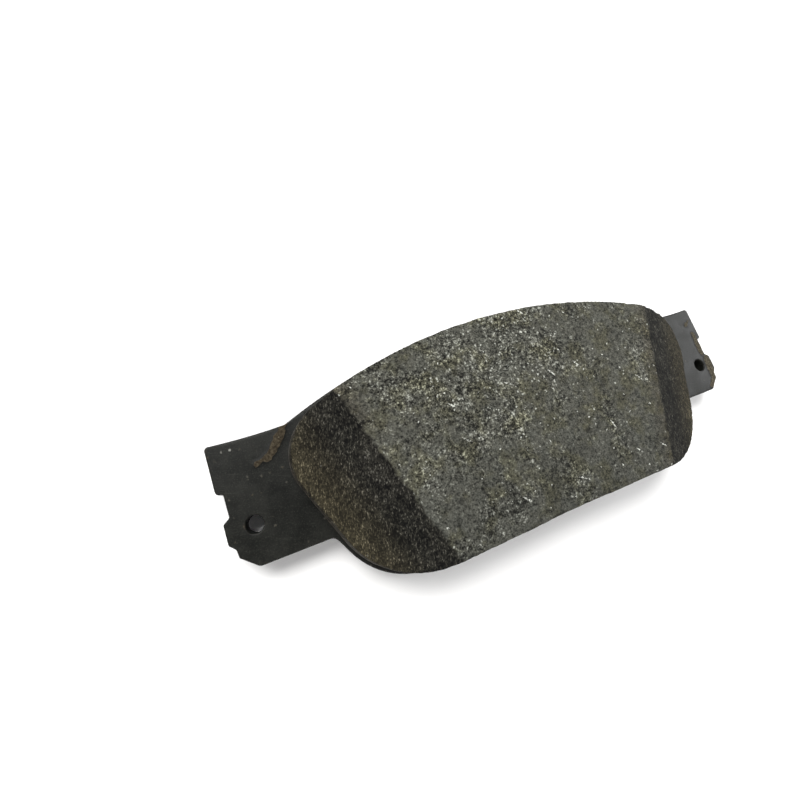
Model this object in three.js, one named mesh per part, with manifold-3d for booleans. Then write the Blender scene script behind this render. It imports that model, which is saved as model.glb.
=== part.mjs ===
// A disc brake pad, in millimetres.
// It lies on its back: X runs from ear to ear, +Y points away from the wheel's axle, and +Z
// points at the disc. The origin is at the middle of the back, in the plane that the caliper
// presses on. From the back to the disc the pad is a four-ply noise shim, a steel backing
// plate, a bonding film, an underlayer and the friction block.

import * as THREE from "three";
import { mergeVertices } from "three/addons/utils/BufferGeometryUtils.js";
import Module from "manifold-3d";

const wasm = await Module();
wasm.setup();

// ---------------------------------------------------------------- driving dimensions

const PAD_LENGTH = 155; // over the ends of the ears
const PAD_HEIGHT = 55.7; // over the backing plate's top and its lower corners

// The plies, from the back to the disc.
const SHIM_RUBBER = 0.2; // each of the two rubber skins
const SHIM_STEEL = 0.4;
const SHIM_ADHESIVE = 0.2;
const PLATE_THICKNESS = 6;
const BOND_THICKNESS = 0.2;
const UNDERLAYER_THICKNESS = 2;
const BLOCK_THICKNESS = 7.7;

// The friction block, measured at its face. Its walls are drafted, so it is wider at the plate.
// Its two ends lean, so that it is narrower towards the axle.
const OUTER_ARC_RADIUS = 143;
const INNER_ARC_RADIUS = 2500;
const BLOCK_OUTER_MARGIN = 1.8; // from the plate's top to the block's
const BLOCK_INNER_MARGIN = 1.15; // from the plate's lower corners to the block's
const BLOCK_LOW_X = 33; // where the inner arc ends and the lower corners begin
const BLOCK_END_X = 59.4; // half the block's width on the X axis
const BLOCK_END_LEAN = 0.4; // growth of that half width for each millimetre of Y
const BLOCK_OUTER_CORNER = 12.4;
const BLOCK_INNER_CORNER = 20.4;
const WALL_DRAFT = 0.08; // outward run of the walls for each millimetre down from the face
const CHAMFER_START_X = 41.5; // where the end chamfer starts on the X axis
const CHAMFER_LEAN = 0.34;
const CHAMFER_ANGLE = THREE.MathUtils.degToRad(16.6);

// The body of the backing plate.
const PLATE_INNER_RADIUS = 2500;
const PLATE_LOW_X = 35; // where the plate's inner arc ends
const PLATE_CORNER_X = 48.4;
const PLATE_CORNER = 19.5;

// The ears at the two ends of the plate, which slide in the caliper's carrier.
const EAR_TOP_Y = 15;
const EAR_TOP_DIP = 0.3; // depth of the slight hollow along the ear's upper edge
const EAR_BOTTOM_Y = -13.15;
const EAR_CORNER = 0.9;
const NECK_X = 56; // where the ear's lower edge meets the body of the plate
const NECK_FILLET = 2.2;
const NOTCH_TOP_Y = 3.95;
const NOTCH_BOTTOM_Y = -1.35;
const NOTCH_DEPTH = 1.5;
const NOTCH_FLANK = 1; // rise of the notch's sloping lower flank
const NOTCH_ROOT = 0.5; // radius of the notch's two inner corners
const NOTCH_LIP = 0.6; // radius of its lower outer corner
const EAR_CUT = [
  // corners of the cut below the notch: X back from the ear's end, Y, and radius
  [0, -6.9, 0.7],
  [1.3, -8.2, 0.8],
  [1.45, -10, 0.6],
  [5, EAR_BOTTOM_Y, 1.4],
];
const HOLE_X = 71.4;
const HOLE_Y = -4.4;
const HOLE_RADIUS = 1.95;

// Holes that the moulded underlayer flows into, and pips pressed out to hold the shim.
const ANCHOR_RADIUS = 5;
const ANCHOR_CLEARANCE = 0.1;
const ANCHOR_RECESS = 0.3; // how far each plug stops short of the plate's back
const ANCHOR_CENTRES = [
  [-40, -2],
  [-14, 4],
  [14, 4],
  [40, -2],
];
const PIP_RADIUS = 3;
const PIP_HEIGHT = 0.7;
const PIP_CLEARANCE = 0.25;
const PIP_CENTRES = [
  [-27, -12],
  [27, -12],
];
const SHIM_INSET = 2.5; // from the edge of the plate's body
const SHIM_END_X = 55; // half the shim's width on the X axis
const SHIM_CORNER = 7;
const ADHESIVE_INSET = 0.8; // from the edge of the shim's steel

// ---------------------------------------------------------------- levels along Z

const SHIM_STEEL_Z = SHIM_RUBBER;
const SHIM_INNER_RUBBER_Z = SHIM_STEEL_Z + SHIM_STEEL;
const SHIM_ADHESIVE_Z = SHIM_INNER_RUBBER_Z + SHIM_RUBBER;
const PLATE_Z = SHIM_ADHESIVE_Z + SHIM_ADHESIVE;
const BOND_Z = PLATE_Z + PLATE_THICKNESS;
const UNDERLAYER_Z = BOND_Z + BOND_THICKNESS;
const BLOCK_Z = UNDERLAYER_Z + UNDERLAYER_THICKNESS;
const FACE_Z = BLOCK_Z + BLOCK_THICKNESS;

// ---------------------------------------------------------------- materials

const material = (color, roughness, metalness) =>
  new THREE.MeshStandardMaterial({ color, roughness, metalness });

const PAINTED_STEEL = material(0x2b2d2c, 0.5, 0.3);
const FRICTION = material(0x55564f, 0.9, 0.1);
const UNDERLAYER = material(0x5a5145, 0.95, 0);
const BOND = material(0x3a3126, 0.6, 0);
const RUBBER = material(0x1c1c1d, 0.75, 0);
const BARE_STEEL = material(0x9a9c9e, 0.35, 1);
const ADHESIVE = material(0xb8b09a, 0.6, 0);

// ---------------------------------------------------------------- outlines

const FACET_SAGITTA = 0.02; // the furthest that a flat facet stands off its arc

// How many facets an arc needs.
function facets(radius, angle) {
  const step = 2 * Math.acos(1 - FACET_SAGITTA / radius);
  return Math.max(2, Math.ceil(Math.abs(angle) / step));
}

// Points of an arc, both ends included.
function arcPoints(x, y, radius, from, to) {
  const count = facets(radius, to - from);
  return Array.from({ length: count + 1 }, (_, i) => {
    const angle = from + ((to - from) * i) / count;
    return new THREE.Vector2(
      x + radius * Math.cos(angle),
      y + radius * Math.sin(angle),
    );
  });
}

// Replaces each corner [x, y, radius] by an arc of that radius. A radius of 0 keeps it sharp.
function rounded(corners) {
  return corners.flatMap(([x, y, radius], i) => {
    const corner = new THREE.Vector2(x, y);
    if (!radius) return [corner];
    const neighbour = (k) =>
      new THREE.Vector2(...corners.at(k % corners.length)).sub(corner).normalize();
    const back = neighbour(i - 1);
    const onward = neighbour(i + 1);
    const half = Math.acos(back.dot(onward)) / 2;
    const centre = back
      .clone()
      .add(onward)
      .setLength(radius / Math.sin(half))
      .add(corner);
    const reach = radius / Math.tan(half);
    const angleTo = (way) =>
      way.clone().multiplyScalar(reach).add(corner).sub(centre).angle();
    const from = angleTo(back);
    let turn = angleTo(onward) - from;
    if (turn > Math.PI) turn -= 2 * Math.PI;
    if (turn < -Math.PI) turn += 2 * Math.PI;
    return arcPoints(centre.x, centre.y, radius, from, from + turn);
  });
}

// The given right half, from the top middle down to the bottom middle, and its mirror image.
function mirrored(half) {
  const left = half
    .filter(([x]) => x > 0)
    .map(([x, y, radius]) => [-x, y, radius])
    .reverse();
  return [...half, ...left];
}

// Heights of the two arcs over X, and the leaning end's X over height. The margin is how far
// the edge stands out from the block's face.
const outerEdgeY = (x, margin) =>
  PAD_HEIGHT / 2 - BLOCK_OUTER_MARGIN - OUTER_ARC_RADIUS +
  Math.sqrt((OUTER_ARC_RADIUS + margin) ** 2 - x ** 2);
const innerEdgeY = (x, margin) =>
  BLOCK_INNER_MARGIN - PAD_HEIGHT / 2 - margin +
  (BLOCK_LOW_X ** 2 - x ** 2) / (2 * INNER_ARC_RADIUS);
const endX = (y, margin) => BLOCK_END_X + BLOCK_END_LEAN * y + margin;

// The plate's inner edge is flat from where its arc ends.
const plateInnerEdgeY = (x) =>
  (PLATE_LOW_X ** 2 - x ** 2) / (2 * PLATE_INNER_RADIUS) - PAD_HEIGHT / 2;

// Corners along an edge between two values of X, all sharp.
function sampled(edgeY, margin, fromX, toX, count) {
  return Array.from({ length: count + 1 }, (_, i) => {
    const x = fromX + ((toX - fromX) * i) / count;
    return [x, edgeY(x, margin), 0];
  });
}

const CORNER_ROUNDS = 40; // far more than the search for a corner needs

// Where the leaning end meets an arc, found by stepping between the two.
function endCorner(edgeY, margin, endMargin) {
  let y = 0;
  for (let i = 0; i < CORNER_ROUNDS; i++) y = edgeY(endX(y, endMargin), margin);
  return [endX(y, endMargin), y];
}

const OUTER_RUN_X = 46; // the sampled part of the outer arc ends here, clear of the corner
const OUTER_STEPS = 10;
const INNER_STEPS = 4;

// An outline that stands out from the block's face by a margin, and by another at the ends.
function padOutline(margin, endMargin, outerCorner, innerCorner, runX) {
  return rounded(
    mirrored([
      ...sampled(outerEdgeY, margin, 0, runX, OUTER_STEPS),
      [...endCorner(outerEdgeY, margin, endMargin), outerCorner],
      [...endCorner(innerEdgeY, margin, endMargin), innerCorner],
      ...sampled(innerEdgeY, margin, BLOCK_LOW_X - 1, 0, INNER_STEPS),
    ]),
  );
}

// The outline of the friction block and of what lies under it, at a height.
function blockOutline(z) {
  const margin = WALL_DRAFT * (FACE_Z - z);
  return padOutline(margin, margin, BLOCK_OUTER_CORNER, BLOCK_INNER_CORNER, OUTER_RUN_X);
}

// The shim covers the body of the plate, inside its edge. Each ply may be inset further.
function shimOutline(inset) {
  const margin = BLOCK_OUTER_MARGIN - SHIM_INSET - inset;
  const endMargin = SHIM_END_X - BLOCK_END_X - inset;
  return padOutline(margin, endMargin, SHIM_CORNER, SHIM_CORNER, OUTER_RUN_X - 4);
}

// The backing plate: its body follows the block, and an ear stands out at each end.
function plateOutline() {
  const end = PAD_LENGTH / 2;
  const notch = end - NOTCH_DEPTH;
  const radius = OUTER_ARC_RADIUS + BLOCK_OUTER_MARGIN;
  const shoulderX = Math.sqrt(radius ** 2 - (EAR_TOP_Y + radius - PAD_HEIGHT / 2) ** 2);
  return rounded(
    mirrored([
      ...sampled(outerEdgeY, BLOCK_OUTER_MARGIN, 0, shoulderX, OUTER_STEPS + 3),
      ...earTop(shoulderX, end),
      [end, EAR_TOP_Y, EAR_CORNER],
      [end, NOTCH_TOP_Y, EAR_CORNER],
      [notch, NOTCH_TOP_Y, NOTCH_ROOT],
      [notch, NOTCH_BOTTOM_Y, NOTCH_ROOT],
      [end, NOTCH_BOTTOM_Y - NOTCH_FLANK, NOTCH_LIP],
      ...EAR_CUT.map(([back, y, corner]) => [end - back, y, corner]),
      [NECK_X, EAR_BOTTOM_Y, NECK_FILLET],
      [PLATE_CORNER_X, -PAD_HEIGHT / 2, PLATE_CORNER],
      ...sampled(plateInnerEdgeY, 0, PLATE_LOW_X, 0, INNER_STEPS),
    ]),
  );
}

// The ear's upper edge is slightly hollow.
function earTop(fromX, toX) {
  return [1, 2, 3, 4].map((i) => {
    const t = i / 5;
    return [fromX + (toX - fromX) * t, EAR_TOP_Y - 4 * EAR_TOP_DIP * t * (1 - t), 0];
  });
}

// ---------------------------------------------------------------- solids

// An upright solid between two levels, from an outline and round holes [x, y, radius].
function slab(outline, bottom, top, holes = []) {
  const shape = new THREE.Shape(outline);
  shape.holes = holes.map(
    ([x, y, radius]) =>
      new THREE.Path(arcPoints(x, y, radius, 0, 2 * Math.PI).slice(1)),
  );
  const geometry = new THREE.ExtrudeGeometry(shape, {
    depth: 1,
    bevelEnabled: false,
  });
  const position = geometry.getAttribute("position");
  for (let i = 0; i < position.count; i++)
    position.setZ(i, position.getZ(i) > 0.5 ? top : bottom);
  return geometry;
}

const disc = (x, y, radius, bottom, top) =>
  slab(arcPoints(x, y, radius, 0, 2 * Math.PI).slice(1), bottom, top);

// A solid between two levels of the block's drafted walls.
function drafted(bottom, top) {
  const low = blockOutline(bottom).reverse();
  const high = blockOutline(top).reverse();
  const count = low.length;
  const index = [];
  for (const [a, b, c] of THREE.ShapeUtils.triangulateShape(low, []))
    index.push(c, b, a, a + count, b + count, c + count);
  for (let i = 0; i < count; i++) {
    const j = (i + 1) % count;
    index.push(i, j, j + count, i, j + count, i + count);
  }
  const ring = (outline, z) => outline.flatMap(({ x, y }) => [x, y, z]);
  return new THREE.BufferGeometry()
    .setAttribute(
      "position",
      new THREE.Float32BufferAttribute([...ring(low, bottom), ...ring(high, top)], 3),
    )
    .setIndex(index);
}

// A closed three.js geometry as a manifold-3d solid, and back.
function solid(geometry) {
  const bare = geometry.clone();
  bare.deleteAttribute("normal");
  bare.deleteAttribute("uv");
  const merged = mergeVertices(bare, 1e-5);
  return new wasm.Manifold(
    new wasm.Mesh({
      numProp: 3,
      vertProperties: merged.getAttribute("position").array,
      triVerts: new Uint32Array(merged.index.array),
    }),
  );
}

function geometryOf(manifold) {
  const mesh = manifold.getMesh();
  const geometry = new THREE.BufferGeometry();
  geometry.setAttribute(
    "position",
    new THREE.BufferAttribute(new Float32Array(mesh.vertProperties), 3),
  );
  geometry.setIndex(new THREE.BufferAttribute(new Uint32Array(mesh.triVerts), 1));
  const flat = geometry.toNonIndexed();
  flat.computeVertexNormals();
  return flat;
}

// Everything above one end chamfer, on the side of -1 or +1.
function chamferCutter(side) {
  const reach = PAD_LENGTH; // past the block on every side
  return new THREE.BoxGeometry(reach, 2 * reach, reach)
    .translate((side * reach) / 2, 0, reach / 2)
    .rotateY(side * CHAMFER_ANGLE)
    .rotateZ(-side * Math.atan(CHAMFER_LEAN))
    .translate(side * CHAMFER_START_X, 0, FACE_Z);
}

const OVERLAP = 1; // how far a joined or cutting disc runs past the face it starts from

const withRadius = (centres, radius) => centres.map(([x, y]) => [x, y, radius]);

// ---------------------------------------------------------------- the pieces

function frictionBlock() {
  const whole = solid(drafted(BLOCK_Z, FACE_Z));
  return geometryOf(
    whole.subtract(solid(chamferCutter(-1))).subtract(solid(chamferCutter(1))),
  );
}

// The underlayer is moulded through the plate's anchor holes and into the backs of its pips.
function underlayer() {
  let body = solid(drafted(UNDERLAYER_Z, BLOCK_Z));
  const middle = (UNDERLAYER_Z + BLOCK_Z) / 2;
  for (const [x, y] of ANCHOR_CENTRES) {
    const plug = disc(x, y, ANCHOR_RADIUS - ANCHOR_CLEARANCE, PLATE_Z + ANCHOR_RECESS, middle);
    body = body.add(solid(plug));
  }
  for (const [x, y] of PIP_CENTRES) {
    const stub = disc(
      x,
      y,
      PIP_RADIUS - ANCHOR_CLEARANCE,
      BOND_Z - PIP_HEIGHT + ANCHOR_CLEARANCE,
      middle,
    );
    body = body.add(solid(stub));
  }
  return geometryOf(body);
}

function bondingFilm() {
  return slab(blockOutline(UNDERLAYER_Z), BOND_Z, UNDERLAYER_Z, [
    ...withRadius(ANCHOR_CENTRES, ANCHOR_RADIUS),
    ...withRadius(PIP_CENTRES, PIP_RADIUS),
  ]);
}

// Each pip is half sheared out of the plate, so there is a dimple of its size on the front.
function backingPlate() {
  const holes = [
    ...withRadius(ANCHOR_CENTRES, ANCHOR_RADIUS),
    [-HOLE_X, HOLE_Y, HOLE_RADIUS],
    [HOLE_X, HOLE_Y, HOLE_RADIUS],
  ];
  let plate = solid(slab(plateOutline(), PLATE_Z, BOND_Z, holes));
  for (const [x, y] of PIP_CENTRES) {
    const pip = disc(x, y, PIP_RADIUS, PLATE_Z - PIP_HEIGHT, PLATE_Z + OVERLAP);
    const dimple = disc(x, y, PIP_RADIUS, BOND_Z - PIP_HEIGHT, BOND_Z + OVERLAP);
    plate = plate.add(solid(pip)).subtract(solid(dimple));
  }
  return geometryOf(plate);
}

function shimPly(inset, bottom, top) {
  const holes = withRadius(PIP_CENTRES, PIP_RADIUS + PIP_CLEARANCE + inset);
  return slab(shimOutline(inset), bottom, top, holes);
}

// ---------------------------------------------------------------- the assembly

const pad = new THREE.Group();

function add(name, geometry, finish) {
  const mesh = new THREE.Mesh(geometry, finish);
  mesh.name = name;
  pad.add(mesh);
}

add("friction_block", frictionBlock(), FRICTION);
add("underlayer", underlayer(), UNDERLAYER);
add("bonding_film", bondingFilm(), BOND);
add("backing_plate", backingPlate(), PAINTED_STEEL);
add("shim_adhesive", shimPly(ADHESIVE_INSET, SHIM_ADHESIVE_Z, PLATE_Z), ADHESIVE);
add("shim_inner_rubber", shimPly(0, SHIM_INNER_RUBBER_Z, SHIM_ADHESIVE_Z), RUBBER);
add("shim_steel_sheet", shimPly(0, SHIM_STEEL_Z, SHIM_INNER_RUBBER_Z), BARE_STEEL);
add("shim_outer_rubber", shimPly(0, 0, SHIM_STEEL_Z), RUBBER);

export default pad;
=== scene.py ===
"""The looks of a disc brake pad that lies on its back, with its friction face up.

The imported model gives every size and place. This script roughens the friction block and its
underlayer into real relief, rolls the edges of the backing plate, raises patches of rusted
coating on its ears, gives the bonding film and each ply of the noise shim its material, and
sets the floor, the lights and the camera.
"""

import math

import bmesh
import bpy
import numpy as np
from mathutils import Matrix, Vector, kdtree


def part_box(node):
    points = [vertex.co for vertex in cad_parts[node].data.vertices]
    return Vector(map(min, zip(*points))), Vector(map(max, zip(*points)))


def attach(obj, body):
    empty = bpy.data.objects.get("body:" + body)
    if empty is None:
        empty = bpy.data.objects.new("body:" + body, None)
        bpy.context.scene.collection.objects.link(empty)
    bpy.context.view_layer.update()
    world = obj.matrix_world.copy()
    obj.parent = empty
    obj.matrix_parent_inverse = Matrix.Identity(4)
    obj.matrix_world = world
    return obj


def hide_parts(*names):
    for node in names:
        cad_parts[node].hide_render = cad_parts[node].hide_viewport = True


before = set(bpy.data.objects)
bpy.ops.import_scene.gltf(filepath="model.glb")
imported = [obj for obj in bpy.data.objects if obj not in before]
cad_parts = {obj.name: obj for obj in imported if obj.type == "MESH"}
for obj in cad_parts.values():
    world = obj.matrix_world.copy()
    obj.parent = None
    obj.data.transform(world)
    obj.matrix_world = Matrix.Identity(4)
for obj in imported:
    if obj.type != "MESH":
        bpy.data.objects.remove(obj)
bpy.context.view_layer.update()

# ---------------------------------------------------------------- sizes, in millimetres

MM = 0.001

BLOCK_LOW, BLOCK_HIGH = (np.array(corner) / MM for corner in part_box("friction_block"))
PLATE_HIGH = np.array(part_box("backing_plate")[1]) / MM
UNDERLAYER_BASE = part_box("bonding_film")[1].z / MM
BLOCK_BASE = BLOCK_LOW[2]
FACE_Z = BLOCK_HIGH[2]
PLATE_FRONT = PLATE_HIGH[2]

WALL_DRAFT = 0.08  # outward run of the block's walls for each millimetre down
CHAMFER_START_X = 41.5  # where the end chamfer starts on the X axis
CHAMFER_LEAN = 0.34  # outward run of that start for each millimetre of Y

# The relief of the friction block.
BLOCK_VOXEL = 0.3  # spacing of the remeshed block's points
GRAIN_DEPTH = 0.035
SMALL_PIT_CELL = 1.3
SMALL_PIT_DEPTH = 0.13
LARGE_PIT_CELL = 4.4
LARGE_PIT_DEPTH = 0.3
GOUGE_COUNT = 130
GOUGE_LENGTHS = (1.0, 4.5)
GOUGE_WIDTHS = (0.35, 0.8)
GOUGE_DEPTH = 0.16
GROUND_PIT_DEPTH = 0.07  # of the small pits in the ground chamfers
GRINDING_DEPTH = 0.024
WALL_ROUGHNESS = 0.06
WALL_SINK = 0.03
EDGE_WIDTH = 0.8  # how far from an edge its wear reaches
EDGE_WEAR = 0.05
EDGE_CHIP = 0.28
HOLLOW_X = 0.5  # middle of the worn stretch of the block's lower edge
HOLLOW_HALF = 13.0  # half its length
HOLLOW_WEAR = 0.4  # its extra wear
MOST_PROUD = 0.04  # how far a grain may stand above the clean surface

# The relief of the underlayer's wall.
RING_STEP = 0.4
UNDERLAYER_ROWS = 7
UNDERLAYER_ROUGHNESS = 0.09
UNDERLAYER_SINK = 0.06
LIP_DEPTH = 0.12  # of the flash that spreads over the plate at the foot of the wall
LIP_HEIGHT = 0.7

# The backing plate's edges and the relief on the front of its ears.
EDGE_ROLL = 0.32
EAR_START = 53.0
EAR_SPAN = (-14.0, 16.0)
EAR_STEP = 0.5
EAR_SKIN = 0.5  # how far below its front an ear is cut
SCAB_RISE = 0.05
FLAKE_RISE = 0.07  # of the flakes on a scab
DENT_DEPTH = 0.04
WAVE_HEIGHT = 0.012

# Strokes of lifted, rusted coating on the ears: from, to and width.
SCABS = (
    ((-59.8, 15.2), (-61.2, 13.0), 1.5),
    ((-61.8, 12.4), (-63.8, 10.0), 2.0),
    ((-63.8, 10.0), (-65.4, 8.7), 1.9),
    ((-65.4, 8.7), (-67.6, 8.2), 1.0),
    ((75.0, 6.2), (74.9, -1.0), 1.9),
    ((75.9, -3.0), (75.0, -9.4), 2.6),
    ((75.0, -9.4), (72.8, -11.8), 1.9),
    ((76.4, 11.0), (73.6, 9.8), 1.2),
)

FAR = 9.0  # further than a pit or the wear of an edge reaches
WELD_GAP = 0.002  # corners this close together are one
CREASE_SPACING = 0.25  # between the points that stand for a sharp edge

# Angles between faces: under the first they count as one flat face, and past the others
# they make an edge.
FLAT_ANGLE = math.radians(0.5)
BLOCK_CREASE = math.radians(25)
PLATE_CREASE = math.radians(40)
PLATE_SHARP = math.radians(35)
UNDERLAYER_SHARP = math.radians(50)


# ---------------------------------------------------------------- repeatable noise on points


HASH_PRIMES = (374761393, 668265263, 2246822519)
HASH_SEED_PRIME = 3266489917
HASH_ROUNDS = ((13, 1274126177), (16, 2654435769))
HASH_MASK = np.uint64(0xFFFFFFFF)
LATTICE_ORIGIN = 4096.0  # keeps the whole-numbered points positive


def lattice(cells, seed):
    """A repeatable value from 0 to 1 for each whole-numbered point."""
    x, y, z = (
        cells[..., axis].astype(np.uint64) * np.uint64(prime)
        for axis, prime in enumerate(HASH_PRIMES)
    )
    mixed = (x + y + z + np.uint64(seed * HASH_SEED_PRIME)) & HASH_MASK
    for shift, prime in HASH_ROUNDS:
        mixed = ((mixed ^ (mixed >> np.uint64(shift))) * np.uint64(prime)) & HASH_MASK
    return (mixed >> np.uint64(8)).astype(float) / float(1 << 24)


def value_noise(points, cell, seed):
    """Smooth noise from -1 to 1 whose features are about one cell across."""
    scaled = points / cell + LATTICE_ORIGIN
    corner = np.floor(scaled)
    part = scaled - corner
    part = part * part * (3 - 2 * part)
    total = np.zeros(len(points))
    for step in np.ndindex(2, 2, 2):
        step = np.array(step)
        weight = np.prod(np.where(step == 1, part, 1 - part), axis=1)
        total += weight * lattice(corner + step, seed)
    return 2 * total - 1


def layered_noise(points, cell, octaves, seed):
    """Value noise summed over octaves, each half the size and height of the last."""
    total = np.zeros(len(points))
    for octave in range(octaves):
        total += value_noise(points, cell / 2**octave, seed + octave) / 2**octave
    return total


def nearest_seed(points, cell, seed):
    """How far each point is from the nearest seed, one per cell, and that seed's own value."""
    scaled = points / cell + LATTICE_ORIGIN
    corner = np.floor(scaled)
    best = np.full(len(points), FAR)
    value = np.zeros(len(points))
    for step in np.ndindex(3, 3, 3):
        home = corner + np.array(step) - 1
        place = home + np.stack([lattice(home, seed + k) for k in range(3)], axis=1)
        gap = np.linalg.norm(scaled - place, axis=1)
        closer = gap < best
        best = np.where(closer, gap, best)
        value = np.where(closer, lattice(home, seed + 3), value)
    return best * cell, value


def ramp(values, start, end):
    """Smooth step from 0 at start to 1 at end, which may be the lower."""
    part = np.clip((values - start) / (end - start), 0, 1)
    return part * part * (3 - 2 * part)


# ---------------------------------------------------------------- mesh helpers


def points_of(mesh):
    """Vertex places in millimetres."""
    flat = np.empty(len(mesh.vertices) * 3)
    mesh.vertices.foreach_get("co", flat)
    return flat.reshape(-1, 3) / MM


def normals_of(mesh):
    """Vertex normals."""
    flat = np.empty(len(mesh.vertices) * 3, np.float32)
    mesh.vertex_normals.foreach_get("vector", flat)
    return flat.reshape(-1, 3).astype(float)


def set_points(mesh, points):
    mesh.vertices.foreach_set("co", (points * MM).ravel())
    mesh.update()


def set_attribute(mesh, name, values):
    """Stores a value for each vertex, which a material can read by name."""
    layer = mesh.attributes.new(name, "FLOAT", "POINT")
    layer.data.foreach_set("value", np.ascontiguousarray(values, np.float32))


def welded_copy(node, name):
    """A copy of a CAD node's mesh with its split corners joined and its flat faces whole."""
    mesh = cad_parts[node].data.copy()
    mesh.name = name
    mesh.materials.clear()
    shape = bmesh.new()
    shape.from_mesh(mesh)
    bmesh.ops.remove_doubles(shape, verts=shape.verts, dist=WELD_GAP * MM)
    bmesh.ops.dissolve_limit(
        shape,
        angle_limit=FLAT_ANGLE,
        verts=shape.verts,
        edges=shape.edges,
    )
    shape.to_mesh(mesh)
    shape.free()
    for layer in list(mesh.attributes):
        if layer.name.startswith(("custom_normal", "UVMap")):
            mesh.attributes.remove(layer)
    return mesh


def new_piece(name, mesh, node, material):
    """Links a mesh as a piece that stands for a CAD node."""
    piece = bpy.data.objects.new(name, mesh)
    bpy.context.scene.collection.objects.link(piece)
    mesh.materials.clear()
    mesh.materials.append(material)
    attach(piece, "root")
    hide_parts(node)


def with_modifiers(mesh, *settings):
    """The mesh after modifiers, each given as (type, {property: value})."""
    holder = bpy.data.objects.new("holder", mesh)
    bpy.context.scene.collection.objects.link(holder)
    for kind, values in settings:
        modifier = holder.modifiers.new(kind.lower(), kind)
        for name, value in values.items():
            setattr(modifier, name, value)
    bpy.context.view_layer.update()
    graph = bpy.context.evaluated_depsgraph_get()
    result = bpy.data.meshes.new_from_object(holder.evaluated_get(graph))
    bpy.data.objects.remove(holder)
    return result


def crease_distance(mesh, points, sharp_angle):
    """How far each point is from the nearest sharp edge of a mesh, in millimetres."""
    shape = bmesh.new()
    shape.from_mesh(mesh)
    samples = []
    for edge in shape.edges:
        if len(edge.link_faces) == 2 and edge.calc_face_angle() > sharp_angle:
            a, b = (np.array(v.co) / MM for v in edge.verts)
            count = max(2, int(np.linalg.norm(b - a) / CREASE_SPACING) + 1)
            samples.extend(a + (b - a) * t for t in np.linspace(0, 1, count))
    shape.free()
    tree = kdtree.KDTree(len(samples))
    for index, sample in enumerate(samples):
        tree.insert(sample, index)
    tree.balance()
    return np.array([tree.find(point)[2] for point in points])


# ---------------------------------------------------------------- node graphs


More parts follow.
